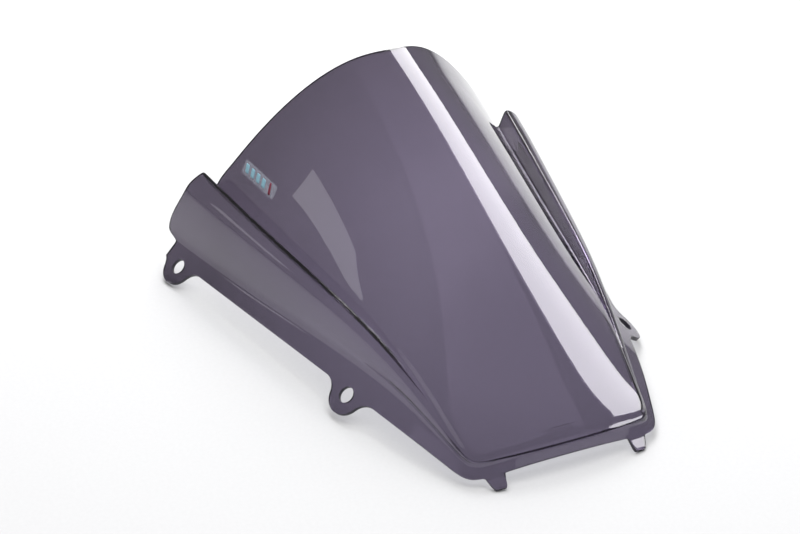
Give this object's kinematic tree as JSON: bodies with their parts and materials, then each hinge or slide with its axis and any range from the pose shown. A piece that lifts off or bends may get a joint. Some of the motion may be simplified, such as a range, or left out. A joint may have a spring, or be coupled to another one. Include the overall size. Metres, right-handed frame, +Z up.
{
  "type": "motorcycle windscreen",
  "caption": "Smoke-tinted thermoformed acrylic motorcycle windscreen with a raised bubble, grooved side wings, drilled mounting ears and bent front locating tabs.",
  "frame": {"origin": "on the floor plane, under the middle of the overall length and width, screen lying dome up", "axes": "+Z up, nose towards -Y, trailing edge towards +Y, rider's left towards +X; symmetric about the plane x = 0 apart from the badge on the rider's right"},
  "size_m": [0.3638, 0.4032, 0.1969],
  "materials": {
    "smoke_acrylic": "gloss, smoke tint",
    "clear_film": "satin clear film",
    "pale_blue_print": "printed ink",
    "dark_red_print": "printed ink"
  },
  "bodies": {
    "root": {"windshield_shell": "smoke_acrylic", "badge_film": "clear_film", "badge_stripe": "dark_red_print", "badge_bar_1": "pale_blue_print", "badge_bar_2": "pale_blue_print", "badge_bar_3": "pale_blue_print", "badge_bar_4": "pale_blue_print"}
  },
  "joints": []
}
